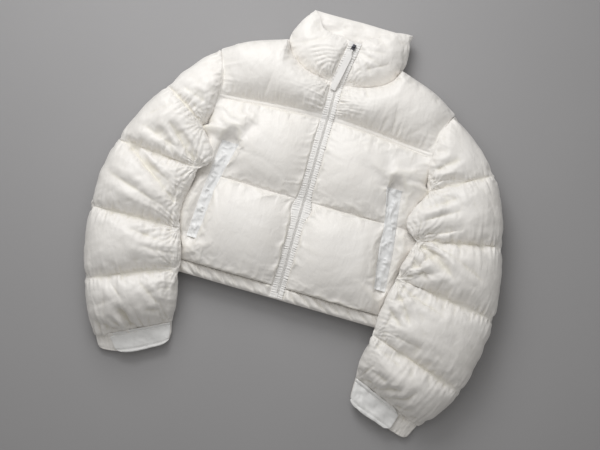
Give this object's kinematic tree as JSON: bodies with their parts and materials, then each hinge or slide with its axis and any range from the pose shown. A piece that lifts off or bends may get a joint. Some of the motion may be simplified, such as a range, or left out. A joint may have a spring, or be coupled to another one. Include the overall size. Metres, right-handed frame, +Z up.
{
  "type": "puffer jacket laid flat",
  "caption": "Cropped puffer jacket with long quilted sleeves, stand collar and full zip, laid flat on its back with the front up; its zip pull lifts.",
  "frame": {"origin": "on the flat underside of the back, 130 mm above the hem's edge and below the zip's line", "axes": "+Z up from the surface the jacket lies on, +Y from the hem towards the collar, +X towards the wearer's left sleeve"},
  "size_m": [0.9217, 0.874, 0.1129],
  "materials": {
    "shell": "smooth white nylon with a soft sheen",
    "trim": "smooth bluish-white nylon",
    "tape": "matt white woven tape",
    "coil": "white moulded coil",
    "metal": "dark gunmetal"
  },
  "bodies": {
    "jacket": {"back_panel": "shell", "front_left": "shell", "front_right": "shell", "yoke_left": "shell", "yoke_right": "shell", "hem_back": "shell", "hem_left": "shell", "hem_right": "shell", "sleeve_left": "shell", "sleeve_right": "shell", "cuff_left": "shell", "cuff_right": "shell", "cuff_strap_left": "trim", "cuff_strap_right": "trim", "collar": "shell", "pocket_welt_left": "trim", "pocket_welt_right": "trim", "zip_tape_left": "tape", "zip_tape_right": "tape", "zip_coil": "coil", "zip_box": "coil", "zip_slider": "metal", "zip_bridge": "metal"},
    "pull": {"zip_link": "metal", "zip_ribbon": "tape"}
  },
  "joints": [
    {"name": "pull_hinge", "type": "hinge", "parent": "jacket", "child": "pull", "pos_m": [0.013, 0.456, 0.07152], "axis": [-0.9816, 0.1908, 0], "range_deg": [0, 160]}
  ]
}
